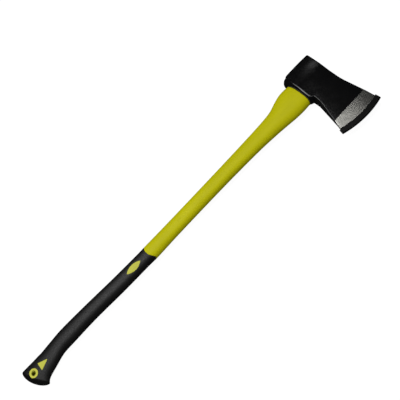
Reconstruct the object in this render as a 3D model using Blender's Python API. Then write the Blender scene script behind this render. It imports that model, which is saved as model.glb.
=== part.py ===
"""Fire axe: a forged single-bit head on a two-colour fibreglass handle, with a guard on its edge.

The axe lies on its side. +X runs up the handle to the top of the head, -Y is the way that the
blade faces, and the lower cheek of the head rests on the plane Z = 0. The origin is on that
cheek, under the middle of the eye. Every size below is in millimetres, and the meshes are in
metres.
"""

import math

import bmesh
import bpy
from mathutils import Matrix, Vector

MM = 0.001
GAP = 0.3  # left between pieces that touch
WELD = 0.02  # corners this near to each other are made one

# Head, seen from the side. Its middle plane is at Z = MID.
EYE_THICKNESS = 36.0
MID = EYE_THICKNESS / 2
HEAD_TOP = 39.8
HEAD_UNDER = -39.0  # the collar round the eye ends here
BEARD_UNDER = -28.5  # the rest of the underside starts from here
POLL_Y = 46.5
CHEEK_RIM = 3.0  # rounding where the cheeks meet the poll and the top
TOE = (60.0, -126.4)
EDGE_MIDDLE = (-2.0, -130.3)
HEEL = (-54.2, -120.6)
GRIND_Y = -92.0  # the painted cheek ends here and the ground bevel begins
TOP_CURVE = ((56.8, -112.0), (53.4, -94.0), (47.2, -68.0), (41.3, -42.0), (39.9, -20.0))
BEARD_CURVE = ((BEARD_UNDER, -32.0), (-29.3, -43.0), (-31.7, -52.0), (-36.2, -67.0),
               (-41.6, -84.5), (-47.6, -104.0))
POLL_CORNER = 5.0  # rounding of the poll where it turns into the underside

# Half the head's thickness at each Y, from beyond the flat cheeks to the edge.
WEDGE = ((8.0, 21.4), (-14.0, 18.8), (-38.0, 15.4), (-58.0, 11.0), (-78.0, 7.4), (GRIND_Y, 5.4),
         (-112.0, 2.9), (-125.0, 1.2), (-131.0, 0.6))

# Collar round the lower end of the eye: round in front, and flush with the cheeks and the poll.
COLLAR_FRONT = -30.5
COLLAR_FRONT_RADIUS = 16.0
COLLAR_BACK_RADIUS = 10.0
COLLAR_RIM = 9.4
COLLAR_INSET = 0.2  # inside the cheeks and the poll
COLLAR_ROOT = 5.0  # it runs up into the head as far as this

# Eye, a tapered oval that opens towards the top.
EYE_Y = 1.5
EYE_HALF_WIDTH_UNDER = 21.8
EYE_HALF_WIDTH_TOP = 26.5
EYE_OVAL = 0.44  # its half thickness over its half width

# Fibreglass core of the handle, a straight oval rod.
CORE_TOP = 37.5
CORE_END = -800.0
CORE_HALF_WIDTH = 11.0
CORE_HALF_THICKNESS = 8.0

# Outside of the handle from the shoulder down: X, middle Y, half width, half thickness.
JACKET_TOP = -41.2
HANDLE = (
    (JACKET_TOP, 1.9, 29.4, 15.6), (-54.0, 2.2, 30.3, 15.8), (-69.0, 2.0, 30.0, 15.6),
    (-88.0, 0.7, 27.4, 15.0), (-113.0, -1.2, 22.7, 14.2), (-145.0, -1.0, 19.9, 13.4),
    (-200.0, -0.1, 17.6, 12.8), (-300.0, 0.3, 16.0, 12.5), (-434.0, 0.0, 15.7, 12.5),
    (-505.0, -0.4, 16.4, 13.0), (-530.0, 0.0, 15.9, 13.0), (-600.0, 1.3, 16.3, 13.2),
    (-681.0, 4.3, 16.6, 13.5), (-745.0, 4.8, 17.6, 13.8), (-777.0, 3.5, 17.2, 13.6),
    (-805.0, -0.7, 19.4, 13.4),
)
SECTION_POWER = 2.4  # of the oval section: 2 is an ellipse, and more is boxier

# Butt: the last station's sections lean until they follow the bowed end.
BUTT_START = -805.0
BUTT_END = -863.4
BUTT_END_Y = 8.0  # the end reaches furthest here
BUTT_BOW = 0.0094  # per millimetre
BUTT = ((0.25, -2.1, 20.9, 13.3), (0.5, -3.6, 22.3, 13.2), (0.75, -5.3, 24.4, 13.0),
        (1.0, -7.7, 27.0, 12.6))  # lean, middle Y, half width, half thickness
BUTT_RIM = 3.4

# Black grip over the thinner lower part of the yellow jacket.
GRIP_MOUTH = -509.0
GRIP_LOBE = 10.0  # how far the jacket's tongue reaches into the grip on each face
GRIP_WALL = 2.0

# Windows through the grip, which the jacket's pads fill.
LENS = (-559.5, -0.6, 20.0, 6.6)  # middle X and Y, half length, half width
ARROW = ((-811.9, -2.4), (-831.6, 6.3), (-837.0, -10.6))
ARROW_CORNER = 1.6
RING = (-851.2, -1.9)
RING_HALF = (10.4, 9.3)  # along X and along Y
HANG_HOLE_HALF = (5.2, 4.1)

# Sealing ring between the shoulder and the head.
SEAL_LIP = 0.9  # how far it stands out round the shoulder
SEAL_RIM = 0.45

# Edge guard, a plastic channel.
GUARD_NOSE = 2.6  # how far it stands in front of the edge
GUARD_DEPTH = 12.6
GUARD_PAST_TOE = 1.4
GUARD_PAST_HEEL = 0.6
GUARD_WALL = 1.7
GUARD_HALF_THICKNESS = 5.0
GUARD_RIM = 1.4

PAST = 6.0  # how far a cutter runs beyond the piece that it cuts

RING_POINTS = 24
SIDES = 40


def clear_scene():
    for item in list(bpy.data.objects):
        bpy.data.objects.remove(item, do_unlink=True)


def new_collection(name):
    made = bpy.data.collections.new(name)
    bpy.context.scene.collection.children.link(made)
    return made


def material(name, colour, roughness, metallic=0.0):
    made = bpy.data.materials.new(name)
    made.use_nodes = True
    shader = made.node_tree.nodes["Principled BSDF"]
    shader.inputs["Base Color"].default_value = (*colour, 1.0)
    shader.inputs["Roughness"].default_value = roughness
    shader.inputs["Metallic"].default_value = metallic
    return made


def add_object(name, mesh, collection):
    made = bpy.data.objects.new(name, mesh)
    collection.objects.link(made)
    return made


def as_cutter(item):
    item.hide_render = True
    item.display_type = "WIRE"
    return item


def boolean(item, other, operation):
    step = item.modifiers.new(f"{operation.lower()} {other.name}", "BOOLEAN")
    step.operation = operation
    step.object = other
    step.solver = "EXACT"


def mesh_from(name, bm):
    bmesh.ops.recalc_face_normals(bm, faces=bm.faces)
    mesh = bpy.data.meshes.new(name)
    bm.to_mesh(mesh)
    bm.free()
    return mesh


# Outlines

def arc_through(start, middle, end, steps):
    """Points on the circle through three points, from the first to the last."""
    (ax, ay), (bx, by), (cx, cy) = start, middle, end
    double = 2 * (ax * (by - cy) + bx * (cy - ay) + cx * (ay - by))
    a2, b2, c2 = ax * ax + ay * ay, bx * bx + by * by, cx * cx + cy * cy
    x = (a2 * (by - cy) + b2 * (cy - ay) + c2 * (ay - by)) / double
    y = (a2 * (cx - bx) + b2 * (ax - cx) + c2 * (bx - ax)) / double
    radius = math.hypot(ax - x, ay - y)
    first = math.atan2(ay - y, ax - x)
    turn = math.remainder(math.atan2(cy - y, cx - x) - first, math.tau)
    angles = [first + turn * step / steps for step in range(steps + 1)]
    return [(x + radius * math.cos(a), y + radius * math.sin(a)) for a in angles]


def smooth_run(points, per_span):
    """A Catmull-Rom curve through the points, which keeps its two ends."""
    padded = [points[0], *points, points[-1]]
    found = []
    for before, start, end, after in zip(padded, padded[1:], padded[2:], padded[3:]):
        for step in range(per_span):
            t = step / per_span
            found.append(tuple(
                0.5 * (2 * b + (c - a) * t + (2 * a - 5 * b + 4 * c - d) * t ** 2
                       + (3 * b - a - 3 * c + d) * t ** 3)
                for a, b, c, d in zip(before, start, end, after)))
    return [*found, points[-1]]


def prism(name, outline, low, high, collection, rim=0.0):
    """A flat outline in X and Y, made solid from Z low to Z high, with its rims rounded."""
    curve = bpy.data.curves.new(name, "CURVE")
    curve.dimensions = "2D"
    curve.fill_mode = "BOTH"
    curve.extrude = ((high - low) / 2 - rim) * MM
    curve.bevel_depth = rim * MM
    curve.bevel_resolution = 3
    curve.offset = -rim * MM
    spline = curve.splines.new("POLY")
    spline.points.add(len(outline) - 1)
    for point, (x, y) in zip(spline.points, outline):
        point.co = (x * MM, y * MM, 0.0, 1.0)
    spline.use_cyclic_u = True
    drawn = bpy.data.objects.new(name + "_curve", curve)
    drawn.location.z = (low + high) / 2 * MM
    collection.objects.link(drawn)
    bpy.context.view_layer.update()
    graph = bpy.context.evaluated_depsgraph_get()
    mesh = bpy.data.meshes.new_from_object(drawn.evaluated_get(graph))
    mesh.transform(drawn.matrix_world)
    bpy.data.objects.remove(drawn, do_unlink=True)
    bm = bmesh.new()
    bm.from_mesh(mesh)
    bmesh.ops.remove_doubles(bm, verts=bm.verts, dist=0.00001)
    bpy.data.meshes.remove(mesh)
    return add_object(name, mesh_from(name, bm), collection)


def oval_rod(name, x_from, x_to, y, half_widths, oval, collection):
    """A rod along X of elliptical section, whose half width goes from one value to another."""
    bm = bmesh.new()
    bmesh.ops.create_cone(bm, cap_ends=True, segments=SIDES, radius1=half_widths[0] * MM,
                          radius2=half_widths[1] * MM, depth=(x_to - x_from) * MM)
    squash = Matrix.Diagonal((oval, 1.0, 1.0, 1.0))
    along_x = Matrix.Rotation(math.pi / 2, 4, "Y")
    middle = Vector(((x_from + x_to) / 2, y, MID)) * MM
    bmesh.ops.transform(bm, matrix=Matrix.Translation(middle) @ along_x @ squash, verts=bm.verts)
    return add_object(name, mesh_from(name, bm), collection)


def loft(name, rings, collection):
    """A skin over rings of equal count, closed by a cap on the first and the last."""
    bm = bmesh.new()
    made = [[bm.verts.new(Vector(point) * MM) for point in ring] for ring in rings]
    for one, two in zip(made, made[1:]):
        for i, corner in enumerate(one):
            j = (i + 1) % len(one)
            bm.faces.new((corner, one[j], two[j], two[i]))
    bm.faces.new(made[0])
    bm.faces.new(made[-1])
    return add_object(name, mesh_from(name, bm), collection)


# Handle sections

def oval_points(middle, half_width, half_thickness):
    """Y, Z and how far towards the top or bottom face each point of a section lies."""
    for step in range(RING_POINTS):
        angle = math.tau * (step + 0.5) / RING_POINTS
        across, up = math.cos(angle), math.sin(angle)
        y = middle + half_width * math.copysign(abs(across) ** (2 / SECTION_POWER), across)
        z = MID + half_thickness * math.copysign(abs(up) ** (2 / SECTION_POWER), up)
        yield y, z, abs(up)


def straight_ring(x, middle, half_width, half_thickness, inset=0.0, lobe=0.0):
    return [(x - lobe * face ** 2, y, z) for y, z, face in
            oval_points(middle, half_width - inset, half_thickness - inset)]


def butt_ring(lean, middle, half_width, half_thickness, inset=0.0, short=0.0):
    """A section that leans from straight across to the bowed end of the butt."""
    found = []
    for y, z, _ in oval_points(middle, half_width - inset, half_thickness - inset):
        end = BUTT_END + BUTT_BOW * (y - BUTT_END_Y) ** 2 + short
        found.append((BUTT_START + (end - BUTT_START) * lean, y, z))
    return found


def handle_at(x):
    """Middle Y, half width and half thickness of the handle at X."""
    for above, below in zip(HANDLE_RUN, HANDLE_RUN[1:]):
        if below[0] <= x <= above[0]:
            t = (above[0] - x) / (above[0] - below[0])
            return [a + (b - a) * t for a, b in zip(above[1:], below[1:])]
    raise ValueError(f"no handle at X {x}")


def handle_rings(x_from, x_to, inset=0.0):
    return [straight_ring(*station, inset=inset) for station in HANDLE_RUN
            if x_to < station[0] < x_from]


def butt_rings(inset=0.0):
    """The rings of the butt, which end in a rounded rim."""
    found = [butt_ring(*station, inset=inset, short=inset + BUTT_RIM * station[0])
             for station in BUTT]
    for quarter in (0.5, 1.0):
        angle = quarter * math.pi / 2
        found.append(butt_ring(*BUTT[-1], inset=inset + BUTT_RIM * (1 - math.cos(angle)),
                               short=inset + BUTT_RIM * (1 - math.sin(angle))))
    return found


HANDLE_RUN = smooth_run(HANDLE, 2)


# Pieces

def edge_arc(offset):
    """The arc of the edge from toe to heel, moved forward by offset."""
    return arc_through(*((x, y - offset) for x, y in (TOE, EDGE_MIDDLE, HEEL)), steps=24)


def longer_edge_arc(offset, past_toe, past_heel):
    """The same arc, run straight on past the toe and past the heel."""
    arc = edge_arc(offset)
    first = Vector(arc[0]) + (Vector(arc[0]) - Vector(arc[1])).normalized() * past_toe
    last = Vector(arc[-1]) + (Vector(arc[-1]) - Vector(arc[-2])).normalized() * past_heel
    return [tuple(first), *arc, tuple(last)]


def quarter_turn(steps):
    """Angles from 0 to a right angle."""
    return [math.pi / 2 * step / steps for step in range(steps + 1)]


def head_outline():
    under = smooth_run((*BEARD_CURVE, HEEL), 3)
    top = smooth_run((TOE, *TOP_CURVE, (HEAD_TOP, 0.0)), 3)
    corner = [(BEARD_UNDER + POLL_CORNER * (1 - math.sin(a)), POLL_Y - POLL_CORNER * (1 - math.cos(a)))
              for a in quarter_turn(6)]
    return [*corner, *under, *reversed(edge_arc(0.0)[1:-1]), *top, (HEAD_TOP, POLL_Y)]


def prism_along_x(name, outline, low, high, collection, rim=0.0):
    """An outline in Y and Z, with Z counted from the middle plane, made solid from X low to high."""
    made = prism(name, outline, low, high, collection, rim)
    # Outline X becomes Y, outline Y becomes Z, and the depth runs along X.
    turn = Matrix.Rotation(math.pi / 2, 4, "Z") @ Matrix.Rotation(math.pi / 2, 4, "X")
    made.data.transform(Matrix.Translation((0.0, 0.0, MID * MM)) @ turn)
    return as_cutter(made)


def wedge_body(name, thicker, collection):
    """The head's taper from poll to edge, run through X, and thicker all over by an allowance."""
    upper = [(POLL_Y + PAST, WEDGE[0][1] + thicker)]
    upper += [(y, half + thicker) for y, half in smooth_run(WEDGE, 2)]
    upper.append((WEDGE[-1][0] - 2 * PAST, WEDGE[-1][1] + thicker))
    outline = upper + [(y, -half) for y, half in reversed(upper)]
    return prism_along_x(name, outline, HEEL[0] - 2 * PAST, TOE[0] + 2 * PAST, collection)


def collar_outline():
    """Half of it turns round the front of the eye and the back, and the other half mirrors it."""
    half = EYE_THICKNESS / 2 - COLLAR_INSET
    front, back = COLLAR_FRONT_RADIUS, COLLAR_BACK_RADIUS
    upper = [(COLLAR_FRONT + front * (1 - math.cos(a)), half - front * (1 - math.sin(a)))
             for a in quarter_turn(7)]
    upper += [(POLL_Y - COLLAR_INSET - back * (1 - math.sin(a)), half - back * (1 - math.cos(a)))
              for a in quarter_turn(5)]
    return upper + [(y, -z) for y, z in reversed(upper)]


def make_head(parts, cutters, finish):
    head = prism("axe_head", head_outline(), 0.0, EYE_THICKNESS, parts, rim=CHEEK_RIM)
    head.data.materials.append(finish)
    boolean(head, wedge_body("cheek_taper", 0.0, cutters), "INTERSECT")
    collar = prism_along_x("eye_collar", collar_outline(), HEAD_UNDER, COLLAR_ROOT, cutters,
                           rim=COLLAR_RIM)
    boolean(head, collar, "UNION")
    widening = PAST * (EYE_HALF_WIDTH_TOP - EYE_HALF_WIDTH_UNDER) / (HEAD_TOP - HEAD_UNDER)
    eye = oval_rod("eye_hole", HEAD_UNDER - PAST, HEAD_TOP + PAST, EYE_Y,
                   (EYE_HALF_WIDTH_UNDER - widening, EYE_HALF_WIDTH_TOP + widening),
                   EYE_OVAL, cutters)
    boolean(head, as_cutter(eye), "DIFFERENCE")
    return head


def make_guard(parts, cutters, finish):
    nose = longer_edge_arc(GUARD_NOSE, GUARD_PAST_TOE, GUARD_PAST_HEEL)
    back = longer_edge_arc(GUARD_NOSE - GUARD_DEPTH, GUARD_PAST_TOE, GUARD_PAST_HEEL)
    half = GUARD_HALF_THICKNESS
    guard = prism("edge_guard", [*nose, *reversed(back)], MID - half, MID + half, parts,
                  rim=GUARD_RIM)
    guard.data.materials.append(finish)
    boolean(guard, wedge_body("guard_taper", GUARD_WALL + GAP, cutters), "INTERSECT")
    front = longer_edge_arc(GAP, PAST, PAST)
    mouth = longer_edge_arc(GAP - GUARD_DEPTH - PAST, PAST, PAST)
    slot = prism("guard_slot", [*front, *reversed(mouth)], 0.0, EYE_THICKNESS, cutters)
    boolean(as_cutter(slot), wedge_body("guard_slot_taper", GAP, cutters), "INTERSECT")
    boolean(guard, slot, "DIFFERENCE")
    return guard


def core_rod(name, grown, collection):
    """The core itself, or the room that it needs, which runs out through the top."""
    half_width = CORE_HALF_WIDTH + grown
    return oval_rod(name, CORE_END - grown, CORE_TOP + (PAST if grown else 0.0), EYE_Y,
                    (half_width, half_width), (CORE_HALF_THICKNESS + grown) / half_width,
                    collection)


def make_core(parts, finish):
    core = core_rod("handle_core", 0.0, parts)
    core.data.materials.append(finish)
    return core


def make_resin(parts, core_space, finish):
    resin = oval_rod("eye_resin", HEAD_UNDER + GAP, HEAD_TOP - GAP, EYE_Y,
                     (EYE_HALF_WIDTH_UNDER - 3 * GAP, EYE_HALF_WIDTH_TOP - 3 * GAP),
                     EYE_OVAL, parts)
    resin.data.materials.append(finish)
    boolean(resin, core_space, "DIFFERENCE")
    return resin


def make_seal(parts, core_space, finish):
    _, middle, half_width, half_thickness = HANDLE[0]
    low, high = JACKET_TOP + GAP, HEAD_UNDER - GAP
    rings = [straight_ring(x, middle, half_width, half_thickness, inset=-lip)
             for x, lip in ((low, SEAL_LIP - SEAL_RIM), (low + SEAL_RIM, SEAL_LIP),
                            (high - SEAL_RIM, SEAL_LIP), (high, SEAL_LIP - SEAL_RIM))]
    seal = loft("eye_seal", rings, parts)
    seal.data.materials.append(finish)
    boolean(seal, core_space, "DIFFERENCE")
    return seal


def lens_outline(shrink):
    x, y, length, width = LENS
    length, width = length - 2 * shrink, width - shrink
    side = arc_through((x - length, y), (x, y + width), (x + length, y), 10)
    return side + [(px, 2 * y - py) for px, py in side[-2:0:-1]]


def arrow_outline(shrink):
    """A triangle with rounded corners, drawn in from its windows by shrink."""
    centre = sum((Vector(corner) for corner in ARROW), Vector((0.0, 0.0))) / 3
    inner = centre.x - ARROW[1][0]  # from the middle to the nearest side
    found = []
    for before, corner, after in zip(ARROW[-1:] + ARROW[:-1], ARROW, ARROW[1:] + ARROW[:1]):
        corner = Vector(corner) + (centre - Vector(corner)) * (shrink / inner)
        to_before = (Vector(before) - corner).normalized()
        to_after = (Vector(after) - corner).normalized()
        for t in (0.0, 0.33, 0.67, 1.0):
            start, end = corner + to_before * ARROW_CORNER, corner + to_after * ARROW_CORNER
            found.append(tuple(start * (1 - t) ** 2 + corner * 2 * t * (1 - t) + end * t ** 2))
    return found


def oval_outline(half_x, half_y, steps=32):
    x, y = RING
    angles = [math.tau * (step + 0.5) / steps for step in range(steps)]
    return [(x + half_x * math.cos(a), y + half_y * math.sin(a)) for a in angles]


def window_prisms(prefix, shrink, collection):
    outlines = {"lens": lens_outline(shrink), "arrow": arrow_outline(shrink),
                "ring": oval_outline(*(half - shrink for half in RING_HALF))}
    return [as_cutter(prism(f"{prefix}_{name}", outline, 0.0, EYE_THICKNESS, collection))
            for name, outline in outlines.items()]


def make_jacket(parts, cutters, core_space, finish):
    skin = GRIP_WALL + GAP
    step = handle_at(GRIP_MOUTH)
    rings = handle_rings(JACKET_TOP + 1.0, GRIP_MOUTH + 1.0)
    rings.append(straight_ring(GRIP_MOUTH, *step, lobe=GRIP_LOBE))
    rings.append(straight_ring(GRIP_MOUTH, *step, inset=skin, lobe=GRIP_LOBE))
    rings += handle_rings(GRIP_MOUTH - GRIP_LOBE - 1.0, BUTT_START - 1.0, inset=skin)
    rings += butt_rings(inset=skin)
    jacket = loft("handle_jacket", rings, parts)
    jacket.data.materials.append(finish)
    whole = handle_rings(GRIP_MOUTH, BUTT_START - 1.0) + butt_rings()
    surface = as_cutter(loft("grip_surface", whole, cutters))
    for pad in window_prisms("pad", GAP, cutters):
        boolean(pad, surface, "INTERSECT")
        boolean(jacket, pad, "UNION")
    boolean(jacket, core_space, "DIFFERENCE")
    hole = prism("hang_hole", oval_outline(*HANG_HOLE_HALF), 0.0, EYE_THICKNESS, cutters)
    boolean(jacket, as_cutter(hole), "DIFFERENCE")
    return jacket


def make_grip(parts, cutters, finish):
    below = GRIP_MOUTH - GRIP_LOBE - 1.0
    mouth = handle_at(GRIP_MOUTH)
    inner = [straight_ring(GRIP_MOUTH - GAP, *mouth, inset=GRIP_WALL, lobe=GRIP_LOBE)]
    inner += handle_rings(below, BUTT_START - 1.0, inset=GRIP_WALL)
    inner += butt_rings(inset=GRIP_WALL)
    outer = [straight_ring(GRIP_MOUTH - GAP, *mouth, lobe=GRIP_LOBE)]
    outer += handle_rings(below, BUTT_START - 1.0)
    outer += butt_rings()
    grip = loft("grip_sleeve", [*reversed(inner), *outer], parts)
    grip.data.materials.append(finish)
    for window in window_prisms("window", 0.0, cutters):
        boolean(grip, window, "DIFFERENCE")
    return grip


def main():
    clear_scene()
    parts = new_collection("fire_axe")
    cutters = new_collection("cutters")
    core_space = as_cutter(core_rod("core_space", GAP, cutters))
    make_head(parts, cutters, material("black_enamel", (0.012, 0.012, 0.013), 0.28))
    make_guard(parts, cutters, material("guard_plastic", (0.018, 0.018, 0.018), 0.45))
    make_core(parts, material("fibreglass", (0.62, 0.58, 0.44), 0.5))
    make_resin(parts, core_space, material("epoxy", (0.07, 0.065, 0.05), 0.25))
    make_seal(parts, core_space, material("seal_rubber", (0.02, 0.018, 0.016), 0.7))
    make_jacket(parts, cutters, core_space, material("yellow_plastic", (0.47, 0.45, 0.008), 0.42))
    make_grip(parts, cutters, material("grip_rubber", (0.02, 0.02, 0.02), 0.6))
    for item in parts.objects:
        weld = item.modifiers.new("weld", "WELD")
        weld.merge_threshold = WELD * MM
        item.data.shade_smooth()
        item.data.set_sharp_from_angle(angle=math.radians(35.0))


main()
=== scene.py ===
"""The looks of the fire axe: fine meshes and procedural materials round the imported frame."""

import math

import bmesh
import bpy
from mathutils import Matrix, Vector


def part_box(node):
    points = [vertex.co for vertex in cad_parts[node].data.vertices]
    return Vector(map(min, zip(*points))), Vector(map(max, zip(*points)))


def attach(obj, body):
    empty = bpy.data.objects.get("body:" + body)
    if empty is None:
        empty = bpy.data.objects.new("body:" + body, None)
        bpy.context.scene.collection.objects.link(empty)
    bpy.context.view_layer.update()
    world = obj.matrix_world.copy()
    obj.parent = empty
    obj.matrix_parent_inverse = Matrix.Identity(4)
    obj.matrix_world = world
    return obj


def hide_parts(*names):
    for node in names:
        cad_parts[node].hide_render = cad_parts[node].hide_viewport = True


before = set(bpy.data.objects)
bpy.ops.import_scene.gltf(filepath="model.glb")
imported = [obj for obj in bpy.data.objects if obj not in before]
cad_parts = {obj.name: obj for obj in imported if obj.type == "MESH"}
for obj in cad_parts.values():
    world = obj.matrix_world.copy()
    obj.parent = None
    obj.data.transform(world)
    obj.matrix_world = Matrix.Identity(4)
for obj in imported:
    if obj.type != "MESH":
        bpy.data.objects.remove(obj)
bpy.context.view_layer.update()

MM = 0.001
head_low, head_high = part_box("axe_head")
MID = (head_low.z + head_high.z) / 2 / MM

# ---------------------------------------------------------------- sizes, in millimetres
# In the CAD's frame: +X up the handle, -Y the way the blade faces, +Z up. They follow the CAD's
# sizes, and a few are a hair smaller so that no piece leaves its box.

EYE_HALF = MID
HEAD_TOP = 39.8
HEAD_UNDER = -39.0  # the collar round the eye ends here
BEARD_UNDER = -28.5  # the rest of the underside starts from here
POLL_Y = head_high.y / MM
TOE = (60.0, -126.4)
EDGE_MIDDLE = (-2.0, -130.3)
HEEL = (-54.2, -120.6)
GRIND_Y = -92.0  # the paint ends and the ground bevel begins
TOP_CURVE = ((39.9, -20.0), (41.3, -42.0), (47.2, -68.0), (53.4, -94.0), (56.8, -112.0))
BEARD_CURVE = ((BEARD_UNDER, -32.0), (-29.3, -43.0), (-31.7, -52.0), (-36.2, -67.0),
               (-41.6, -84.5), (-47.6, -104.0))
# Y and the half thickness there, from the poll to the edge.
WEDGE = ((60.0, 19.2), (8.0, 18.9), (-14.0, 18.2), (-38.0, 15.3), (-58.0, 11.0), (-78.0, 7.4),
         (GRIND_Y, 5.4), (-112.0, 4.3), (-131.0, 3.5))
CHEEK_TOP = (30.0, 20.0)  # the cheeks' highest point, and the radii of their crown
CHEEK_RADII = (1700.0, 420.0)
EDGE_HALF = 0.5
EDGE_SLOPE = 0.127  # half thickness gained per millimetre from the edge
BLADE_CROWN = 0.08  # share by which the blade thins towards toe and heel
TOP_RIM = (3.0, 1.1)  # rounding of the top's corners at the eye, and along the blade
BEARD_RIM = 0.9
POLL_RIM = 3.0

COLLAR_FRONT = -30.5
COLLAR_OVAL = 3.2  # power of its outline: 2 is an ellipse, and more is boxier
COLLAR_DEPTH = 10.5
COLLAR_POWER = 2.8  # of its rounded side, in the same way
COLLAR_FILLET = 4.0
COLLAR_FADE = 8.0  # the cheek follows the collar's bulge as far up as this

EYE_Y = 1.5
EYE_HALF_WIDTH_UNDER = 21.8
EYE_HALF_WIDTH_TOP = 26.5
EYE_OVAL = 0.44  # half thickness over half width
CORE_TOP = 37.5
CORE_HALF_WIDTH = 11.0
CORE_HALF_THICKNESS = 8.0
CORE_RIM = 0.4
RESIN_SHRINK = 0.9  # it clears the eye's wall by this below, and by less above
RESIN_SHRINK_TOP = 0.35

JACKET_TOP = -41.2
JACKET_RIM = 1.4
# X, the middle's Y, half width and half thickness.
HANDLE = (
    (JACKET_TOP, 1.9, 29.4, 15.6), (-54.0, 2.2, 30.3, 15.8), (-69.0, 2.0, 30.0, 15.6),
    (-88.0, 0.7, 27.4, 15.0), (-113.0, -1.2, 22.7, 14.2), (-145.0, -1.0, 19.9, 13.4),
    (-200.0, -0.1, 17.6, 12.8), (-300.0, 0.3, 16.0, 12.5), (-434.0, 0.0, 15.7, 12.5),
    (-505.0, -0.4, 16.4, 13.0), (-530.0, 0.0, 15.9, 13.0), (-600.0, 1.3, 16.3, 13.2),
    (-681.0, 4.3, 16.6, 13.5), (-745.0, 4.8, 17.6, 13.8), (-777.0, 3.5, 17.2, 13.6),
    (-805.0, -0.7, 19.4, 13.4),
)
SECTION_POWER = 2.4  # of the oval section
BUTT_START = -805.0
BUTT_END = -863.3
BUTT_END_Y = 8.0  # the end reaches furthest here
BUTT_BOW = 0.0094  # per millimetre
# Share of the way to the slanted end, then as in HANDLE.
BUTT_NECK = ((-0.48, 3.5, 17.2, 13.6), (0.0, -0.7, 19.4, 13.4))
BUTT = ((0.25, -2.1, 20.9, 13.3), (0.5, -3.6, 22.3, 13.2), (0.75, -5.3, 24.4, 13.0),
        (1.0, -7.7, 27.0, 12.6))
BUTT_RIM = 3.4
GRIP_MOUTH = -509.0
GRIP_LOBE = 10.0  # how far the jacket's tongue reaches into the grip on each face
GRIP_WALL = 2.0
LIP = 0.5  # rounding where the jacket and the grip meet
INLAY_GAP = 0.12
INLAY_SINK = 0.15
LENS = (-559.5, -0.6, 20.0, 6.6)  # middle X and Y, half length, half width
ARROW = ((-811.9, -2.4), (-831.6, 6.3), (-837.0, -10.6))
ARROW_CORNER = 2.0
RING = (-851.2, -1.9)
RING_HALF = (10.4, 8.3)
RING_TURN = math.radians(35.0)  # the ring and the hole lean with the slanted butt
HANG_HOLE_HALF = (6.0, 4.1)

GUARD_NOSE = 2.55  # how far it stands in front of the edge
GUARD_DEPTH = 12.4
GUARD_PAST_TOE = 0.9
GUARD_PAST_HEEL = 0.55
GUARD_WALL = 1.7
GUARD_ROOM = 0.35  # between the guard and the blade, on top of the gap
GUARD_RIM = 0.5
GAP = 0.3
PAST = 1.0  # how far the cutters of the windows run beyond the handle


# ---------------------------------------------------------------- mesh helpers

def mesh_object(name, points, faces):
    mesh = bpy.data.meshes.new(name)
    mesh.from_pydata([Vector(p) * MM for p in points], [], faces)
    bm = bmesh.new()
    bm.from_mesh(mesh)
    bmesh.ops.recalc_face_normals(bm, faces=bm.faces)
    bm.to_mesh(mesh)
    bm.free()
    made = bpy.data.objects.new(name, mesh)
    bpy.context.scene.collection.objects.link(made)
    return made


def shade(item, angle=35.0):
    item.data.shade_smooth()
    item.data.set_sharp_from_angle(angle=math.radians(angle))


def skin_faces(rows, count):
    """Four-sided faces between neighbouring rings of equal count."""
    return [(r * count + i, r * count + (i + 1) % count,
             (r + 1) * count + (i + 1) % count, (r + 1) * count + i)
            for r in range(rows - 1) for i in range(count)]


def loft(name, rings):
    """A skin over rings of equal count, closed by a face at each end."""
    count = len(rings[0])
    points = [p for ring in rings for p in ring]
    faces = skin_faces(len(rings), count)
    faces.append(tuple(range(count)))
    faces.append(tuple(range((len(rings) - 1) * count, len(rings) * count)))
    return mesh_object(name, points, faces)


def evaluated_copy(item):
    graph = bpy.context.evaluated_depsgraph_get()
    mesh = bpy.data.meshes.new_from_object(item.evaluated_get(graph))
    item.modifiers.clear()
    item.data = mesh


def cut(item, other, operation="DIFFERENCE"):
    """Cuts or joins at once, and removes the other object."""
    step = item.modifiers.new("cut", "BOOLEAN")
    step.operation = operation
    step.object = other
    step.solver = "EXACT"
    bpy.context.view_layer.update()
    evaluated_copy(item)
    bpy.data.objects.remove(other, do_unlink=True)


def prism(name, outline, low, high):
    """A flat outline in X and Y made solid between two heights."""
    return loft(name, [[(x, y, low) for x, y in outline], [(x, y, high) for x, y in outline]])


def catmull_rom(before, start, end, after, t):
    return tuple(0.5 * (2 * b + (c - a) * t + (2 * a - 5 * b + 4 * c - d) * t ** 2
                        + (3 * b - a - 3 * c + d) * t ** 3)
                 for a, b, c, d in zip(before, start, end, after))


def smooth_run(points, longest):
    """A curve through the points, in steps of at most a given length of the first coordinate."""
    padded = [points[0], *points, points[-1]]
    found = []
    for group in zip(padded, padded[1:], padded[2:], padded[3:]):
        length = math.dist(group[1][:2], group[2][:2])
        steps = max(1, math.ceil(length / longest))
        found += [catmull_rom(*group, step / steps) for step in range(steps)]
    return [*found, points[-1]]


def resample(points, count):
    """Points at equal spacing along a run."""
    lengths = [0.0]
    for one, two in zip(points, points[1:]):
        lengths.append(lengths[-1] + math.dist(one, two))
    found = []
    index = 0
    for step in range(count + 1):
        target = lengths[-1] * step / count
        while index < len(points) - 2 and lengths[index + 1] < target:
            index += 1
        span = lengths[index + 1] - lengths[index]
        t = (target - lengths[index]) / span
        found.append(tuple(a + (b - a) * t for a, b in zip(points[index], points[index + 1])))
    return found


def interpolate(table, x):
    """The table's second value at x, where its first values run downwards."""
    for (above, high), (below, low) in zip(table, table[1:]):
        if x >= below:
            t = (above - x) / (above - below)
            return high + (low - high) * min(max(t, 0.0), 1.0)
    return table[-1][1]


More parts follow.
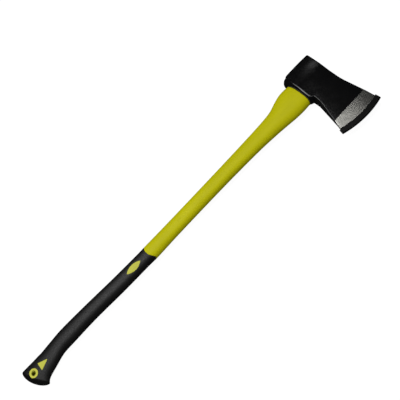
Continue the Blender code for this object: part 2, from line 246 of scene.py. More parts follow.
def arc_centre(start, middle, end):
    """The centre and radius of the circle through three points."""
    (ax, ay), (bx, by), (cx, cy) = start, middle, end
    double = 2 * (ax * (by - cy) + bx * (cy - ay) + cx * (ay - by))
    a2, b2, c2 = ax * ax + ay * ay, bx * bx + by * by, cx * cx + cy * cy
    x = (a2 * (by - cy) + b2 * (cy - ay) + c2 * (ay - by)) / double
    y = (a2 * (cx - bx) + b2 * (ax - cx) + c2 * (bx - ax)) / double
    return x, y, math.hypot(ax - x, ay - y)


def arc_through(start, middle, end, steps):
    x, y, radius = arc_centre(start, middle, end)
    first = math.atan2(start[1] - y, start[0] - x)
    turn = math.remainder(math.atan2(end[1] - y, end[0] - x) - first, math.tau)
    return [(x + radius * math.cos(first + turn * step / steps),
             y + radius * math.sin(first + turn * step / steps)) for step in range(steps + 1)]


def quarter(steps):
    """Angles from 0 to a right angle."""
    return [math.pi / 2 * step / steps for step in range(steps + 1)]


def smooth_min(a, b, width):
    mix = max(width - abs(a - b), 0.0) / width
    return min(a, b) - mix * mix * width / 4


def smooth_step(low, high, x):
    t = min(max((x - low) / (high - low), 0.0), 1.0)
    return t * t * (3 - 2 * t)


# ---------------------------------------------------------------- head

WEDGE_RUN = smooth_run(WEDGE, 2.0)
EDGE_ARC = arc_through(HEEL, EDGE_MIDDLE, TOE, 48)
FAN_START_Y = -32.0  # from here the sections open towards the curved edge
FLAT_STEPS = 40
CORNER_STEPS = 6
TOP_STEPS = 10
UNDER_STEPS = 48
ROUND = 96
FAN_ROWS = 70
EDGE_CENTRE_X, EDGE_CENTRE_Y, EDGE_RADIUS = arc_centre(HEEL, EDGE_MIDDLE, TOE)


def half_thickness(x, y):
    """Half the head's thickness: a wedge from the cheeks, and a finer one along the edge."""
    wedge = smooth_min(interpolate(WEDGE_RUN, y), EYE_HALF, 0.6)
    near_eye = smooth_step(-70.0, -20.0, y)
    wedge -= near_eye * sum((place - top) ** 2 / (2 * radius) for place, top, radius
                            in zip((x, max(y, -25.0)), CHEEK_TOP, CHEEK_RADII))
    from_edge = max(EDGE_RADIUS - math.hypot(x - EDGE_CENTRE_X, y - EDGE_CENTRE_Y), 0.0)
    crown = 1 - BLADE_CROWN * smooth_step(-30.0, -95.0, y) * ((x - 2.0) / 57.0) ** 2
    return smooth_min(wedge * crown, EDGE_HALF + EDGE_SLOPE * from_edge + 0.1, 0.4)


def collar_inside(y, z):
    """How far a point of the underside lies inside the collar's oval outline."""
    half_length = (POLL_Y - COLLAR_FRONT) / 2
    along = abs(y - POLL_Y + half_length) / half_length
    across = abs(z) / EYE_HALF
    level = (along ** COLLAR_OVAL + across ** COLLAR_OVAL) ** (1 / COLLAR_OVAL)
    slope = math.hypot(along ** (COLLAR_OVAL - 1) / half_length,
                       across ** (COLLAR_OVAL - 1) / EYE_HALF)
    return (1 - level) * level ** (COLLAR_OVAL - 1) / max(slope, 1 / half_length / 4)


def underside(y, z, half, line):
    """X of the head's underside: the beard's lower face, and the collar's bulge below it."""
    rim = min(BEARD_RIM + 3.0 * smooth_step(24.0, 40.0, y), 0.8 * half)
    short = rim - (half - abs(z))
    body = line + (rim - math.sqrt(max(rim * rim - short * short, 0.0)) if short > 0 else 0.0)
    inside = collar_inside(y, z)
    near = min(max(inside / COLLAR_DEPTH, 0.0), 1.0)
    bulge = COLLAR_DEPTH * (1 - (1 - near) ** COLLAR_POWER) ** (1 / COLLAR_POWER)
    return smooth_min(body, BEARD_UNDER - bulge - 1.3 * min(inside, 0.0), COLLAR_FILLET)


def head_loop(lower, upper, place, inset):
    """One closed section: the upper face, the top, the lower face and the underside."""
    width = math.dist(lower, upper)
    y_low = lower[1]
    half_low = half_thickness(*lower) - inset
    rim = TOP_RIM[1] + (TOP_RIM[0] - TOP_RIM[1]) * smooth_step(-38.0, -2.0, upper[1])
    rim = min(rim, 0.8 * half_thickness(*upper))
    # From the underside to the start of the top's rounded corner, and round the corner.
    cheek = [(place(step / FLAT_STEPS * (width - rim) / width), 0.0) for step in range(FLAT_STEPS)]
    corner = [(place((width - rim + rim * math.sin(a)) / width), rim * (1 - math.cos(a)))
              for a in quarter(CORNER_STEPS)[:-1]]
    face = [(x, y, half_thickness(x, y) - inset - drop) for (x, y), drop in cheek + corner]
    top = place(1.0)
    top_half = half_thickness(*top) - rim - inset
    wall = [(top[0] - inset, top[1], top_half * (1 - 2 * step / TOP_STEPS))
            for step in range(TOP_STEPS + 1)]
    face = [(x - inset * smooth_step(width - 12, width, math.dist(lower, (x, y))), y, z)
            for x, y, z in face]
    under = []
    for step in range(1, UNDER_STEPS):
        z = -half_low * math.cos(math.pi * step / UNDER_STEPS)
        under.append((underside(y_low, z, half_low, lower[0]), y_low, z))
    shift = underside(y_low, half_low, half_low, lower[0]) - lower[0]
    face = [(x + shift * max(1 - math.dist(lower, (x, y)) / COLLAR_FADE, 0.0), y, z)
            for x, y, z in face]
    mirrored = [(x, y, -z) for x, y, z in reversed(face)]
    loop = [*face, *wall, *mirrored, *under]
    return [(x, y, MID + z) for x, y, z in loop], len(face), len(wall)


def straight_place(y):
    def place(t):
        return BEARD_UNDER + (top_line(y) - BEARD_UNDER) * t, y
    return place


TOP_POINTS = ((HEAD_TOP, POLL_Y), (HEAD_TOP, 0.0), *TOP_CURVE, TOE)
TOP_RUN = [(y, x) for x, y in smooth_run(TOP_POINTS, 1.0)]


def top_line(y):
    return interpolate(TOP_RUN, y)


def fan_places(rows):
    """Sections that open from the end of the collar to the curved edge."""
    lower = resample(smooth_run((*BEARD_CURVE, HEEL), 1.0), rows)
    upper_run = [(x, y) for y, x in TOP_RUN if y < FAN_START_Y]
    upper = resample([(top_line(FAN_START_Y), FAN_START_Y), *upper_run], rows)
    edge = EDGE_ARC
    start = (lower[0], upper[0])

    def maker(row):
        """A surface patch between four curves: start, edge, underside and top."""
        s = row / rows

        def place(t):
            scaled = t * (len(edge) - 1)
            index = min(int(scaled), len(edge) - 2)
            part = scaled - index
            found = []
            for axis in (0, 1):
                sides = (1 - t) * lower[row][axis] + t * upper[row][axis]
                first = (1 - t) * start[0][axis] + t * start[1][axis]
                last = edge[index][axis] * (1 - part) + edge[index + 1][axis] * part
                corners = ((1 - s) * ((1 - t) * start[0][axis] + t * start[1][axis])
                           + s * ((1 - t) * edge[0][axis] + t * edge[-1][axis]))
                found.append(sides + (1 - s) * first + s * last - corners)
            return tuple(found)
        return place
    return [(lower[row], upper[row], maker(row)) for row in range(1, rows + 1)]


def make_head():
    """Sections from the rounded poll to the edge, finer where the collar ends, with the eye cut."""
    loops = [(POLL_Y - POLL_RIM + POLL_RIM * math.cos(angle), POLL_RIM * (1 - math.sin(angle)))
             for angle in quarter(6)]
    y = POLL_Y - POLL_RIM
    rows = []
    while y > -15.0:
        y -= 1.0
        rows.append(y)
    rows += [COLLAR_FRONT + (y - COLLAR_FRONT) * (1 - math.sin(angle)) for angle in quarter(26)[4:]]
    rows += [COLLAR_FRONT - 0.25, FAN_START_Y]
    loops += [(row, 0.0) for row in rows]
    rings = []
    for y, inset in loops:
        place = straight_place(y)
        rings.append(head_loop(place(0.0), place(1.0), place, inset))
    rings += [head_loop(lower, upper, place, 0.0) for lower, upper, place in fan_places(FAN_ROWS)]
    faces_count, wall_count = rings[0][1], rings[0][2]
    points = [p for ring, _, _ in rings for p in ring]
    # The poll is a little crowned towards its upper corner.
    points = [(x, y - 1.1 * smooth_step(15.0, POLL_Y, y) * (max(x + 8.0, 0.0) / 47.0) ** 2, z)
              for x, y, z in points]
    count = len(rings[0][0])
    faces = skin_faces(len(rings), count)
    # The end faces run from cheek to cheek in strips.
    for base in (0, (len(rings) - 1) * count):
        upper = list(range(base, base + faces_count))
        lower = list(range(base + faces_count + wall_count,
                           base + 2 * faces_count + wall_count))[::-1]
        for i in range(faces_count - 1):
            faces.append((upper[i], upper[i + 1], lower[i + 1], lower[i]))
        wall = list(range(base + faces_count, base + faces_count + wall_count))
        faces.append((upper[-1], *wall, lower[-1]))
        under = list(range(base + 2 * faces_count + wall_count, base + count))
        faces.append((lower[0], *under, upper[0]))
    head = mesh_object("head", points, faces)
    past = 6.0
    slope = (EYE_HALF_WIDTH_TOP - EYE_HALF_WIDTH_UNDER) / (HEAD_TOP - HEAD_UNDER)
    eye = loft("eye", [oval_ring(HEAD_UNDER - past, EYE_HALF_WIDTH_UNDER - past * slope),
                       oval_ring(HEAD_TOP + past, EYE_HALF_WIDTH_TOP + past * slope)])
    cut(head, eye)
    shade(head, 62.0)
    return head


def oval_ring(x, half_width, oval=EYE_OVAL):
    return [(x, EYE_Y + half_width * math.cos(math.tau * i / ROUND),
             MID + half_width * oval * math.sin(math.tau * i / ROUND)) for i in range(ROUND)]


# ---------------------------------------------------------------- handle

def section(middle, half_width, half_thickness):
    """Points round the handle: Y, Z and how much each one faces up or down."""
    for step in range(ROUND):
        angle = math.tau * (step + 0.5) / ROUND
        across, up = math.cos(angle), math.sin(angle)
        y = middle + half_width * math.copysign(abs(across) ** (2 / SECTION_POWER), across)
        z = MID + half_thickness * math.copysign(abs(up) ** (2 / SECTION_POWER), up)
        yield y, z, abs(up)


def straight_ring(x, middle, half_width, half_thickness, inset=0.0, lobe=0.0):
    return [(x - lobe * face ** 2, y, z)
            for y, z, face in section(middle, half_width - inset, half_thickness - inset)]


HANDLE_RUN = smooth_run(HANDLE, 3.0)
BUTT_RUN = [station for station in smooth_run((*BUTT_NECK, *BUTT), 0.05) if station[0] > 1e-6]


def butt_ring(lean, middle, half_width, half_thickness, inset=0.0, short=0.0, squeeze=1.0):
    """A ring that leans towards the slanted end, short of it and squeezed to its middle."""
    found = []
    for y, z, _ in section(middle, half_width - inset, half_thickness - inset):
        y = middle + (y - middle) * squeeze
        end = BUTT_END + BUTT_BOW * (y - BUTT_END_Y) ** 2 + short
        found.append((BUTT_START + (end - BUTT_START) * lean, y, MID + (z - MID) * squeeze))
    return found


def butt_rings(inset=0.0):
    """The butt's rings, its rounded rim and the bowed end, which closes towards its middle."""
    found = [butt_ring(*station, inset=inset, short=inset + BUTT_RIM * station[0])
             for station in BUTT_RUN]
    for angle in quarter(8)[1:]:
        found.append(butt_ring(*BUTT[-1], inset=inset + BUTT_RIM * (1 - math.cos(angle)),
                               short=inset + BUTT_RIM * (1 - math.sin(angle))))
    for squeeze in (0.85, 0.65, 0.45, 0.25, 0.08):
        found.append(butt_ring(*BUTT[-1], inset=inset + BUTT_RIM, short=inset, squeeze=squeeze))
    return found


def handle_at(x):
    for above, below in zip(HANDLE_RUN, HANDLE_RUN[1:]):
        if below[0] <= x <= above[0]:
            t = (above[0] - x) / (above[0] - below[0])
            return [a + (b - a) * t for a, b in zip(above[1:], below[1:])]
    raise ValueError(f"no handle at {x}")


def handle_rings(x_from, x_to, inset=0.0):
    return [straight_ring(*station, inset=inset) for station in HANDLE_RUN
            if x_to < station[0] < x_from]


def lens_outline(shrink, steps=28):
    x, y, length, width = LENS
    length, width = length - 2 * shrink, width - shrink
    side = arc_through((x - length, y), (x, y + width), (x + length, y), steps)
    return side + [(px, 2 * y - py) for px, py in side[-2:0:-1]]


def arrow_outline(shrink):
    centre = sum((Vector(corner) for corner in ARROW), Vector((0.0, 0.0))) / 3
    inner = centre.x - ARROW[1][0]
    found = []
    for before, corner, after in zip(ARROW[-1:] + ARROW[:-1], ARROW, ARROW[1:] + ARROW[:1]):
        corner = Vector(corner) + (centre - Vector(corner)) * (shrink / inner)
        to_before = (Vector(before) - corner).normalized()
        to_after = (Vector(after) - corner).normalized()
        for step in range(9):
            t = step / 8
            start, end = corner + to_before * ARROW_CORNER, corner + to_after * ARROW_CORNER
            found.append(tuple(start * (1 - t) ** 2 + corner * 2 * t * (1 - t) + end * t ** 2))
    return found


def oval_outline(half_x, half_y, steps=64):
    """An oval round the hang hole's middle, turned to stand square to the slanted butt."""
    x, y = RING
    cos, sin = math.cos(RING_TURN), math.sin(RING_TURN)
    outline = []
    for i in range(steps):
        angle = math.tau * (i + 0.5) / steps
        u, v = half_x * math.cos(angle), half_y * math.sin(angle)
        outline.append((x + u * cos - v * sin, y + u * sin + v * cos))
    return outline


def window_outlines(shrink):
    return {"lens": lens_outline(shrink), "arrow": arrow_outline(shrink),
            "ring": oval_outline(*(half - shrink for half in RING_HALF))}


def make_jacket():
    """The yellow jacket from the shoulder to the grip, with a rounded rim at the shoulder."""
    skin = GRIP_WALL + GAP
    rings = [straight_ring(JACKET_TOP - JACKET_RIM * (1 - math.cos(a)), *HANDLE[0][1:],
                           inset=JACKET_RIM * (1 - math.sin(a))) for a in quarter(5)]
    rings += handle_rings(JACKET_TOP - JACKET_RIM - 0.5, GRIP_MOUTH + 1.0)
    mouth = handle_at(GRIP_MOUTH)
    rings += [straight_ring(GRIP_MOUTH + LIP * (1 - math.sin(a)), *mouth,
                            inset=LIP * (1 - math.cos(a)), lobe=GRIP_LOBE) for a in quarter(3)]
    rings.append(straight_ring(GRIP_MOUTH, *mouth, inset=skin, lobe=GRIP_LOBE))
    rings.append(straight_ring(GRIP_MOUTH - GRIP_LOBE - 12.0, *handle_at(GRIP_MOUTH - 22.0),
                               inset=skin))
    jacket = loft("jacket", rings)
    shade(jacket)
    return jacket


def make_inlays():
    """The jacket's pads, which fill the windows of the grip and stand just under its surface."""
    whole = handle_rings(GRIP_MOUTH - 1.0, BUTT_START - 1.0, inset=INLAY_SINK)
    whole += butt_rings(inset=INLAY_SINK)
    made = []
    for name, outline in window_outlines(INLAY_GAP).items():
        pad = prism("inlay_" + name, outline, 0.0, 2 * MID)
        cut(pad, loft("surface", whole), "INTERSECT")
        if name == "ring":
            cut(pad, prism("hole", oval_outline(*HANG_HOLE_HALF), -PAST, 2 * MID + PAST))
        shade(pad)
        made.append(pad)
    return made


def make_grip():
    """The black sleeve, from its tongue-shaped mouth round the butt, with its windows cut."""
    below = GRIP_MOUTH - GRIP_LOBE - 1.0
    mouth = handle_at(GRIP_MOUTH)
    inner = [straight_ring(GRIP_MOUTH - GAP, *mouth, inset=GRIP_WALL, lobe=GRIP_LOBE)]
    inner += handle_rings(below, BUTT_START - 1.0, inset=GRIP_WALL)
    inner += butt_rings(inset=GRIP_WALL)
    outer = [straight_ring(GRIP_MOUTH - GAP - LIP * (1 - math.sin(a)), *mouth,
                           inset=LIP * (1 - math.cos(a)), lobe=GRIP_LOBE)
             for a in reversed(quarter(3))]
    outer += handle_rings(below, BUTT_START - 1.0)
    outer += butt_rings()
    grip = loft("grip", [*reversed(inner), *outer])
    for name, outline in window_outlines(0.0).items():
        cut(grip, prism("window", outline, -PAST, 2 * MID + PAST))
    shade(grip)
    return grip


# ---------------------------------------------------------------- guard, seal, eye

def make_guard():
    """A channel swept along the edge, round at its nose and square at both ends."""
    centre = Vector((EDGE_CENTRE_X, EDGE_CENTRE_Y))
    arc = [Vector(point) for point in arc_through(HEEL, EDGE_MIDDLE, TOE, 60)]
    stations = [(point, (point - centre).normalized()) for point in arc]
    first_along = (stations[0][0] - stations[1][0]).normalized()
    last_along = (stations[-1][0] - stations[-2][0]).normalized()
    stations.insert(0, (stations[0][0] + first_along * GUARD_PAST_HEEL, stations[0][1]))
    stations.append((stations[-1][0] + last_along * GUARD_PAST_TOE, stations[-1][1]))
    mouth = GUARD_DEPTH - GUARD_NOSE
    inner_half = EDGE_HALF + EDGE_SLOPE * mouth + GUARD_ROOM + GAP
    outer_half = inner_half + GUARD_WALL
    nose_half = EDGE_HALF + GUARD_ROOM + GAP + GUARD_WALL * 0.9
    # How far in front of the edge, and the height.
    profile = [(-mouth, inner_half), (-mouth, outer_half - GUARD_RIM)]
    profile += [(-mouth + GUARD_RIM * (1 - math.cos(a)),
                 outer_half - GUARD_RIM * (1 - math.sin(a))) for a in quarter(4)[1:]]
    profile += [(-mouth * (1 - t), outer_half + (nose_half - outer_half) * t ** 1.1)
                for t in (0.25, 0.5, 0.75)]
    profile += [(GUARD_NOSE * math.sin(a), nose_half * math.cos(a)) for a in quarter(8)]
    profile += [(x, -z) for x, z in profile[-2::-1]]
    inside = [(GAP * math.sin(a), (EDGE_HALF + GAP + 0.3) * math.cos(a) * -1)
              for a in quarter(3)]
    profile += inside + [(x, -z) for x, z in inside[-2::-1]]
    guard = loft("guard", [[(point.x + outward.x * d, point.y + outward.y * d, MID + z)
                            for d, z in profile] for point, outward in stations])
    step = guard.modifiers.new("round", "BEVEL")
    step.width = 0.35 * MM
    step.segments = 2
    step.limit_method = "ANGLE"
    step.angle_limit = math.radians(50)
    bpy.context.view_layer.update()
    evaluated_copy(guard)
    shade(guard, 40.0)
    return guard


def make_seal():
    """The bead between the shoulder and the collar, round on its outside."""
    _, middle, half_width, half_thickness = HANDLE[0]
    low, high = JACKET_TOP + GAP, HEAD_UNDER - GAP
    rings = [straight_ring(low, middle, half_width, half_thickness, inset=3.0)]
    for step in range(9):
        angle = math.pi * step / 8
        rings.append(straight_ring((low + high) / 2 - (high - low) / 2 * math.cos(angle), middle,
                                   half_width, half_thickness, inset=-0.85 * math.sin(angle)))
    rings.append(straight_ring(high, middle, half_width, half_thickness, inset=3.0))
    seal = loft("seal", rings)
    shade(seal)
    return seal


def make_resin():
    """The epoxy that fills the eye, with a meniscus up the walls at the top."""
    top = EYE_HALF_WIDTH_TOP - RESIN_SHRINK_TOP
    brim = HEAD_TOP - 0.6
    rings = [oval_ring(HEAD_UNDER + GAP, EYE_HALF_WIDTH_UNDER - RESIN_SHRINK), oval_ring(brim, top)]
    for inset, drop in ((0.5, 1.0), (1.4, 1.6), (3.0, 2.0), (6.0, 2.2)):
        half = top - inset
        rings.append(oval_ring(brim - drop, half, (top * EYE_OVAL - inset) / half))
    resin = loft("resin", rings)
    shade(resin, 60.0)
    return resin


def make_core():
    """The top of the fibreglass rod, which shows in the eye."""
    oval = CORE_HALF_THICKNESS / CORE_HALF_WIDTH
    rings = [oval_ring(JACKET_TOP - 5.0, CORE_HALF_WIDTH, oval)]
    for angle in quarter(4):
        half = CORE_HALF_WIDTH - CORE_RIM * (1 - math.cos(angle))
        rings.append(oval_ring(CORE_TOP - CORE_RIM + CORE_RIM * math.sin(angle), half, oval))
    core = loft("core", rings)
    shade(core, 50.0)
    return core


# ---------------------------------------------------------------- materials

class Shader:
    """A material and short ways to add nodes to it."""

    def __init__(self, name):
        self.material = bpy.data.materials.new(name)
        self.material.use_nodes = True
        self.tree = self.material.node_tree
        self.surface = self.tree.nodes["Principled BSDF"]
        coordinates = self.tree.nodes.new("ShaderNodeTexCoord")
        self.place = coordinates.outputs["Object"]

    def set(self, **values):
        for name, value in values.items():
            self.surface.inputs[name.replace("_", " ")].default_value = value

    def join(self, source, socket):
        self.tree.links.new(source, socket)

    def mapped(self, scale, rotation=(0.0, 0.0, 0.0)):
        node = self.tree.nodes.new("ShaderNodeMapping")
        node.inputs["Scale"].default_value = scale
        node.inputs["Rotation"].default_value = rotation
        self.join(self.place, node.inputs["Vector"])
        return node.outputs["Vector"]

    def noise(self, scale, detail=3.0, roughness=0.5, vector=None):
        node = self.tree.nodes.new("ShaderNodeTexNoise")
        node.inputs["Scale"].default_value = scale
        node.inputs["Detail"].default_value = detail
        node.inputs["Roughness"].default_value = roughness
        self.join(vector or self.place, node.inputs["Vector"])
        return node.outputs["Fac"]

    def voronoi(self, scale, feature="F1", vector=None):
        node = self.tree.nodes.new("ShaderNodeTexVoronoi")
        node.feature = feature
        node.inputs["Scale"].default_value = scale
        self.join(vector or self.place, node.inputs["Vector"])
        return node.outputs["Distance"]

    def range(self, value, from_low, from_high, to_low, to_high):
        node = self.tree.nodes.new("ShaderNodeMapRange")
        node.inputs["From Min"].default_value = from_low
        node.inputs["From Max"].default_value = from_high
        node.inputs["To Min"].default_value = to_low
        node.inputs["To Max"].default_value = to_high
        self.join(value, node.inputs["Value"])
        return node.outputs["Result"]

    def math(self, operation, one, two):
        node = self.tree.nodes.new("ShaderNodeMath")
        node.operation = operation
        for socket, value in zip(node.inputs, (one, two)):
            if isinstance(value, (int, float)):
                socket.default_value = value
            else:
                self.join(value, socket)
        return node.outputs["Value"]

    def mix(self, share, one, two):
        """A colour between two, each a colour or a socket."""
        node = self.tree.nodes.new("ShaderNodeMix")
        node.data_type = "RGBA"
        self.join(share, node.inputs["Factor"])
        for socket, value in zip((node.inputs[6], node.inputs[7]), (one, two)):
            if isinstance(value, tuple):
                socket.default_value = (*value, 1.0)
            else:
                self.join(value, socket)
        return node.outputs[2]

    def axis(self, name):
        node = self.tree.nodes.new("ShaderNodeSeparateXYZ")
        self.join(self.place, node.inputs["Vector"])
        return node.outputs[name]

    def bump(self, height, distance, strength=1.0, below=None):
        node = self.tree.nodes.new("ShaderNodeBump")
        node.inputs["Strength"].default_value = strength
        node.inputs["Distance"].default_value = distance
        self.join(height, node.inputs["Height"])
        if below:
            self.join(below, node.inputs["Normal"])
        return node.outputs["Normal"]

    def finish(self, colour, roughness=None, normal=None, metallic=None):
        """Joins the sockets to the surface and returns the material."""
        for name, source in (("Base Color", colour), ("Roughness", roughness),
                             ("Normal", normal), ("Metallic", metallic)):
            if source:
                self.join(source, self.surface.inputs[name])
        return self.material


def head_material():
    """Black enamel with a faint orange peel, and bare ground steel along the edge."""
    s = Shader("enamel_and_ground_steel")
    ragged = s.range(s.noise(900.0, 2.0), 0.3, 0.7, -0.00025, 0.00025)
    past_paint = s.math("ADD", s.axis("Y"), ragged)
    steel = s.range(past_paint, GRIND_Y * MM + 0.00012, GRIND_Y * MM - 0.00012, 0.0, 1.0)
    lines = s.noise(1.0, 4.0, 0.6, s.mapped((5200.0, 90.0, 500.0), (0.0, 0.0, 0.06)))
    streaks = s.noise(1.0, 2.0, 0.5, s.mapped((900.0, 25.0, 60.0), (0.0, 0.0, 0.06)))
    steel_colour = s.mix(s.range(streaks, 0.3, 0.7, 0.0, 1.0), (0.45, 0.445, 0.415),
                         (0.56, 0.555, 0.515))
    # Painted reflection: the ground steel is darkened towards the heel and the toe, where its
    # reflection fades.
    painted_reflection_falloff = s.math("MULTIPLY", s.range(s.axis("X"), -0.050, 0.000, 0.50, 1.0),
                    s.range(s.axis("X"), 0.014, 0.036, 1.0, 0.56))
    steel_colour = s.mix(painted_reflection_falloff, (0.0, 0.0, 0.0), steel_colour)
    cloud = s.noise(38.0, 4.0)
    paint_colour = s.mix(s.range(cloud, 0.3, 0.7, 0.0, 1.0), (0.0022, 0.0022, 0.0024),
                         (0.0032, 0.0032, 0.0034))
    colour = s.mix(steel, paint_colour, steel_colour)
    paint_rough = s.range(s.noise(60.0, 5.0, 0.6), 0.3, 0.7, 0.11, 0.15)
    steel_rough = s.range(lines, 0.3, 0.7, 0.19, 0.26)
    rough = s.math("ADD", s.math("MULTIPLY", paint_rough, s.math("SUBTRACT", 1.0, steel)),
                   s.math("MULTIPLY", steel_rough, steel))
    wave = s.bump(s.noise(45.0, 2.0), 0.00025, 0.35)
    peel = s.bump(s.math("MULTIPLY", s.noise(950.0, 2.0), s.math("SUBTRACT", 1.0, steel)),
                  0.00003, 0.6, wave)
    ground = s.bump(s.math("MULTIPLY", lines, steel), 0.00003, 0.5, peel)
    edge_of_paint = s.bump(s.math("SUBTRACT", 1.0, steel), 0.00012, 1.0, ground)
    s.set(Specular_IOR_Level=0.3)
    return s.finish(colour, rough, edge_of_paint, steel)


def yellow_material(name, low, high):
    """Moulded polypropylene with a fine texture, faint flow marks and a few specks."""
    s = Shader(name)
    flow = s.noise(1.0, 4.0, 0.55, s.mapped((14.0, 60.0, 60.0)))
    colour = s.mix(s.range(flow, 0.3, 0.7, 0.0, 1.0), low, high)
    specks = s.range(s.voronoi(75.0), 0.035, 0.055, 1.0, 0.0)
    chosen = s.range(s.noise(120.0, 0.0), 0.60, 0.66, 0.0, 1.0)
    dirt = s.math("MULTIPLY", s.math("MULTIPLY", specks, chosen), 0.55)
    colour = s.mix(dirt, colour, (0.10, 0.09, 0.012))
    rough = s.range(s.noise(260.0, 4.0), 0.3, 0.7, 0.42, 0.56)
    grain = s.bump(s.noise(2600.0, 3.0, 0.6), 0.00006, 0.5)
    sink = s.bump(flow, 0.0004, 0.25, grain)
    s.set(Specular_IOR_Level=0.1)
    return s.finish(colour, rough, sink)


def grip_material():
    """Black thermoplastic rubber, finely pebbled, a little paler where it is rubbed."""
    s = Shader("grip_rubber")
    cloud = s.noise(55.0, 5.0, 0.6)
    colour = s.mix(s.range(cloud, 0.3, 0.7, 0.0, 1.0), (0.0042, 0.0042, 0.0042),
                   (0.0068, 0.0066, 0.0064))
    rough = s.range(s.noise(420.0, 4.0), 0.3, 0.7, 0.46, 0.60)
    pebble = s.bump(s.voronoi(1500.0, "SMOOTH_F1"), 0.00010, 0.45)
    fine = s.bump(s.noise(4200.0, 2.0), 0.00004, 0.5, pebble)
    s.set(Specular_IOR_Level=0.4)
    return s.finish(colour, rough, fine)


def guard_material():
    """Extruded black PVC with fine draw lines along the channel."""
    s = Shader("guard_plastic")
    colour = s.mix(s.noise(70.0, 4.0), (0.0012, 0.0012, 0.0011), (0.0024, 0.0024, 0.0022))
    draw = s.noise(1.0, 3.0, 0.5, s.mapped((40.0, 1400.0, 1400.0)))
    rough = s.range(draw, 0.3, 0.7, 0.36, 0.50)
    normal = s.bump(draw, 0.00005, 0.4)
    s.set(Specular_IOR_Level=0.12)
    return s.finish(colour, rough, normal)


def seal_material():
    """Dull dark rubber."""
    s = Shader("seal_rubber")
    colour = s.mix(s.noise(140.0, 4.0), (0.010, 0.010, 0.008), (0.022, 0.021, 0.016))
    rough = s.range(s.noise(700.0, 3.0), 0.3, 0.7, 0.55, 0.75)
    return s.finish(colour, rough, s.bump(s.noise(1800.0, 3.0), 0.00006, 0.5))


def resin_material():
    """Dark epoxy, glossy and a little wavy, with a few small bubbles."""
    s = Shader("epoxy")
    colour = s.mix(s.noise(90.0, 4.0), (0.030, 0.026, 0.018), (0.062, 0.054, 0.036))
    rough = s.range(s.noise(300.0, 3.0), 0.3, 0.7, 0.14, 0.30)
    bubbles = s.range(s.voronoi(420.0), 0.0, 0.18, 0.0, 1.0)
    normal = s.bump(bubbles, 0.00012, 0.5, s.bump(s.noise(110.0, 2.0), 0.0005, 0.5))
    return s.finish(colour, rough, normal)


def core_material():
    """The sawn end of a fibreglass rod: pale resin full of fine strands."""
    s = Shader("fibreglass")
    strands = s.voronoi(1900.0, vector=s.mapped((0.02, 1.0, 1.0)))
    bundles = s.voronoi(360.0, vector=s.mapped((0.02, 1.0, 1.0)))
    body = s.mix(s.range(bundles, 0.1, 0.7, 0.0, 1.0), (0.56, 0.52, 0.38), (0.36, 0.32, 0.20))
    colour = s.mix(s.range(strands, 0.2, 0.6, 0.0, 0.5), body, (0.68, 0.66, 0.54))
    rough = s.range(strands, 0.1, 0.6, 0.45, 0.7)
    return s.finish(colour, rough, s.bump(strands, 0.00010, 0.6))


# ---------------------------------------------------------------- the object

def put(piece, material, slot, body, *nodes):
    piece.data.materials.clear()
    piece.data.materials.append(material)
    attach(piece, body)
    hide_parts(*nodes)


yellow = yellow_material("yellow_jacket", (0.41, 0.395, 0.002), (0.46, 0.44, 0.0035))
pale_yellow = yellow_material("yellow_inlay", (0.44, 0.44, 0.055), (0.49, 0.49, 0.075))
put(make_head(), head_material(), "black_enamel", "axe", "axe_head")
put(make_jacket(), yellow, "yellow_plastic", "axe", "handle_jacket")
for pad in make_inlays():
    put(pad, pale_yellow, "yellow_plastic", "axe", "handle_jacket")
put(make_grip(), grip_material(), "grip_rubber", "axe", "grip_sleeve")
put(make_guard(), guard_material(), "guard_plastic", "guard", "edge_guard")
put(make_seal(), seal_material(), "seal_rubber", "axe", "eye_seal")
put(make_resin(), resin_material(), "epoxy", "axe", "eye_resin")
put(make_core(), core_material(), "fibreglass", "axe", "handle_core")

# ---------------------------------------------------------------- stage, light and camera

AIM = Vector((-0.35606, 0.00098, 0.018))
AZIMUTH = math.radians(-50.43)
ELEVATION = math.radians(60.0)
DISTANCE = 4.5
LENS_MM = 205.5
SENSOR_MM = 36.0


def toward(azimuth, elevation):
    """The direction from the object to a place at that azimuth, from -Y towards +X."""
    return Vector((math.sin(azimuth) * math.cos(elevation),
                   -math.cos(azimuth) * math.cos(elevation), math.sin(elevation)))


def add_camera():
    data = bpy.data.cameras.new("camera")
    data.lens = LENS_MM
    data.sensor_width = SENSOR_MM
    data.clip_end = 50.0
    camera = bpy.data.objects.new("camera", data)
    bpy.context.scene.collection.objects.link(camera)
    camera.location = AIM + toward(AZIMUTH, ELEVATION) * DISTANCE
    camera.rotation_euler = (AIM - camera.location).to_track_quat("-Z", "Y").to_euler()
    bpy.context.scene.camera = camera


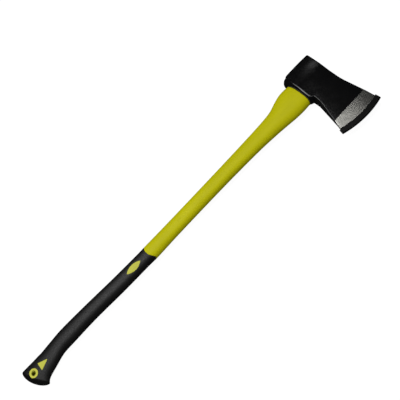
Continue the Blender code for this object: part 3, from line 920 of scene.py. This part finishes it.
def add_softbox(name, azimuth, elevation, distance, size, power, aim=AIM, gloss=True):
    data = bpy.data.lights.new(name, "AREA")
    data.shape = "RECTANGLE"
    data.size, data.size_y = size
    data.energy = power
    lamp = bpy.data.objects.new(name, data)
    bpy.context.scene.collection.objects.link(lamp)
    lamp.location = aim + toward(math.radians(azimuth), math.radians(elevation)) * distance
    lamp.rotation_euler = (aim - lamp.location).to_track_quat("-Z", "Y").to_euler()
    lamp.visible_glossy = gloss


def add_floor():
    half = 6.0
    mesh = bpy.data.meshes.new("floor")
    corners = ((-half, -half), (half, -half), (half, half), (-half, half))
    mesh.from_pydata([(x, y, 0.0) for x, y in corners], [], [(0, 1, 2, 3)])
    floor = bpy.data.objects.new("floor", mesh)
    bpy.context.scene.collection.objects.link(floor)
    s = Shader("floor")
    s.set(Roughness=0.9, Specular_IOR_Level=0.1, Emission_Color=(1.0, 1.0, 1.0, 1.0),
          Emission_Strength=0.95)
    colour = s.mix(s.noise(1.5, 2.0), (0.10, 0.10, 0.10), (0.11, 0.11, 0.11))
    mesh.materials.append(s.finish(colour))
    floor.visible_diffuse = False
    floor.visible_glossy = False


def add_world(strength):
    world = bpy.data.worlds.new("world")
    world.use_nodes = True
    world.node_tree.nodes["Background"].inputs["Color"].default_value = (1.0, 1.0, 1.0, 1.0)
    world.node_tree.nodes["Background"].inputs["Strength"].default_value = strength
    bpy.context.scene.world = world


WORLD_STRENGTH = 0.02

add_camera()
add_floor()
add_world(WORLD_STRENGTH)
# Azimuth, elevation, distance, size, power and aim. The two large ones fill the shadows, and
# nothing mirrors them.
add_softbox("key", 117.5, 64.2, 1.6, (0.7, 0.7), 11.5, Vector((-0.7, 0.0, 0.0)))
add_softbox("left", -135.0, 38.0, 2.6, (1.6, 1.2), 42.0, gloss=False)
add_softbox("right", -45.0, 25.0, 2.6, (1.6, 1.2), 36.0, gloss=False)
add_softbox("cheek", 124.4, 56.4, 2.5, (0.14, 0.14), 0.14, Vector((0.033, 0.022, 0.036)))
add_softbox("bevel", 110.0, 74.5, 2.0, (0.44, 0.26), 2.6, Vector((-0.02, -0.11, 0.02)))
bpy.context.scene.view_settings.view_transform = "Standard"
